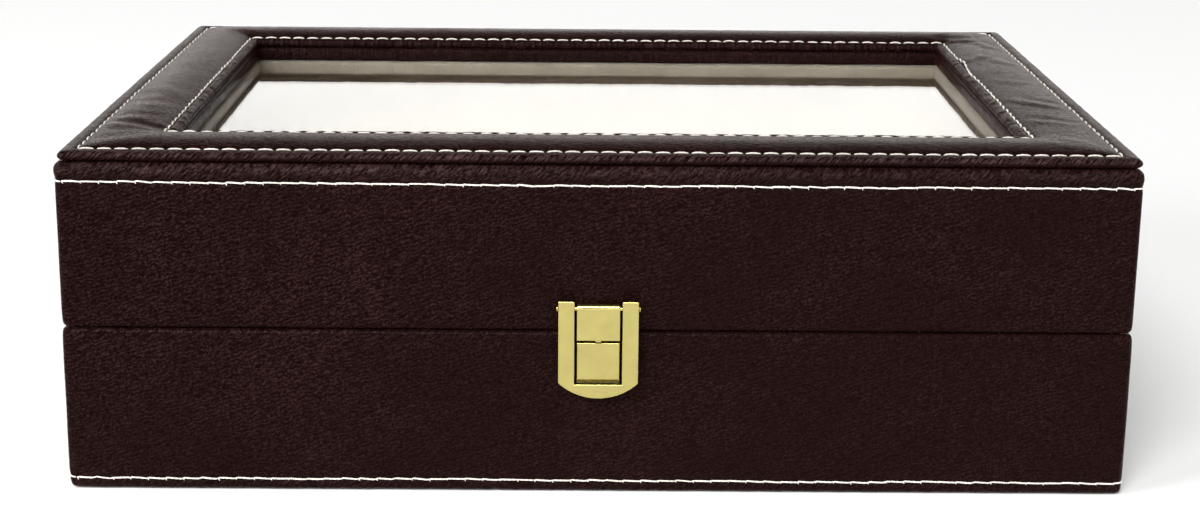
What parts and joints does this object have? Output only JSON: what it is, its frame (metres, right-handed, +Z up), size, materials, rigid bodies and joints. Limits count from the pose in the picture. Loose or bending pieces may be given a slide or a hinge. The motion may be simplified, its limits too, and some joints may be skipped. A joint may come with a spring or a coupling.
{
  "type": "watch box",
  "caption": "Leather covered watch box with a padded glass-window lid, back hinges, a swing-flap front latch and lift-out pillows in velvet compartments.",
  "frame": {"origin": "centre of the underside, where the felt rests on the table", "axes": "+X along the long side, +Y from the latch side to the hinge side, +Z up"},
  "size_m": [0.301, 0.2086, 0.0996],
  "materials": {
    "leather": "pebbled, satin, very dark red brown",
    "fibreboard": "raw fibreboard",
    "velvet": "short pile velvet, light taupe",
    "pillow_suede": "brushed suede, cream",
    "felt": "black felt",
    "foam": "soft foam",
    "thread": "off-white thread",
    "glass": "clear, polished",
    "gold": "polished, gold plated"
  },
  "bodies": {
    "base": {"bottom_felt": "felt", "base_front_board": "fibreboard", "base_back_board": "fibreboard", "base_left_board": "fibreboard", "base_right_board": "fibreboard", "base_bottom_board": "fibreboard", "base_leather_cover": "leather", "base_floor_lining": "velvet", "base_lining_front": "velvet", "base_lining_back": "velvet", "base_lining_left": "velvet", "base_lining_right": "velvet", "long_divider": "velvet", "cross_dividers": "velvet", "base_thread": "thread", "hinge_base_leaf_left": "gold", "hinge_base_leaf_right": "gold", "hinge_pins": "gold", "base_hinge_screws": "gold", "latch_catch": "gold", "catch_rivets": "gold"},
    "lid": {"lid_front_board": "fibreboard", "lid_back_board": "fibreboard", "lid_left_board": "fibreboard", "lid_right_board": "fibreboard", "lid_leather_cover": "leather", "lid_top_board": "fibreboard", "lid_top_foam": "foam", "lid_top_leather": "leather", "window_frame": "leather", "glass_pane": "glass", "glass_retainer": "velvet", "lid_lining_front": "velvet", "lid_lining_back": "velvet", "lid_lining_left": "velvet", "lid_lining_right": "velvet", "hinge_lid_leaf_left": "gold", "hinge_lid_leaf_right": "gold", "lid_hinge_screws": "gold", "latch_bracket": "gold", "latch_pin": "gold", "bracket_rivets": "gold", "lid_thread": "thread", "top_outer_thread": "thread", "top_inner_thread": "thread"},
    "latch_flap": {"latch_flap": "gold"},
    "watch_pillow_01": {"watch_pillow_01": "pillow_suede"},
    "watch_pillow_02": {"watch_pillow_02": "pillow_suede"},
    "watch_pillow_03": {"watch_pillow_03": "pillow_suede"},
    "watch_pillow_04": {"watch_pillow_04": "pillow_suede"},
    "watch_pillow_05": {"watch_pillow_05": "pillow_suede"},
    "watch_pillow_06": {"watch_pillow_06": "pillow_suede"},
    "watch_pillow_07": {"watch_pillow_07": "pillow_suede"},
    "watch_pillow_08": {"watch_pillow_08": "pillow_suede"},
    "watch_pillow_09": {"watch_pillow_09": "pillow_suede"},
    "watch_pillow_10": {"watch_pillow_10": "pillow_suede"},
    "watch_pillow_11": {"watch_pillow_11": "pillow_suede"},
    "watch_pillow_12": {"watch_pillow_12": "pillow_suede"}
  },
  "joints": [
    {"name": "lid_hinge", "type": "hinge", "parent": "base", "child": "lid", "pos_m": [0, 0.102, 0.0483], "axis": [-1, 0, 0], "range_deg": [0, 100]},
    {"name": "latch_flap_hinge", "type": "hinge", "parent": "lid", "child": "latch_flap", "pos_m": [0, -0.10275, 0.0558], "axis": [-1, 0, 0], "range_deg": [0, 95]},
    {"name": "pillow_01_lift", "type": "slide", "parent": "base", "child": "watch_pillow_01", "axis": [0, 0, 1], "range_m": [0, 0.03]},
    {"name": "pillow_02_lift", "type": "slide", "parent": "base", "child": "watch_pillow_02", "axis": [0, 0, 1], "range_m": [0, 0.03]},
    {"name": "pillow_03_lift", "type": "slide", "parent": "base", "child": "watch_pillow_03", "axis": [0, 0, 1], "range_m": [0, 0.03]},
    {"name": "pillow_04_lift", "type": "slide", "parent": "base", "child": "watch_pillow_04", "axis": [0, 0, 1], "range_m": [0, 0.03]},
    {"name": "pillow_05_lift", "type": "slide", "parent": "base", "child": "watch_pillow_05", "axis": [0, 0, 1], "range_m": [0, 0.03]},
    {"name": "pillow_06_lift", "type": "slide", "parent": "base", "child": "watch_pillow_06", "axis": [0, 0, 1], "range_m": [0, 0.03]},
    {"name": "pillow_07_lift", "type": "slide", "parent": "base", "child": "watch_pillow_07", "axis": [0, 0, 1], "range_m": [0, 0.03]},
    {"name": "pillow_08_lift", "type": "slide", "parent": "base", "child": "watch_pillow_08", "axis": [0, 0, 1], "range_m": [0, 0.03]},
    {"name": "pillow_09_lift", "type": "slide", "parent": "base", "child": "watch_pillow_09", "axis": [0, 0, 1], "range_m": [0, 0.03]},
    {"name": "pillow_10_lift", "type": "slide", "parent": "base", "child": "watch_pillow_10", "axis": [0, 0, 1], "range_m": [0, 0.03]},
    {"name": "pillow_11_lift", "type": "slide", "parent": "base", "child": "watch_pillow_11", "axis": [0, 0, 1], "range_m": [0, 0.03]},
    {"name": "pillow_12_lift", "type": "slide", "parent": "base", "child": "watch_pillow_12", "axis": [0, 0, 1], "range_m": [0, 0.03]}
  ]
}
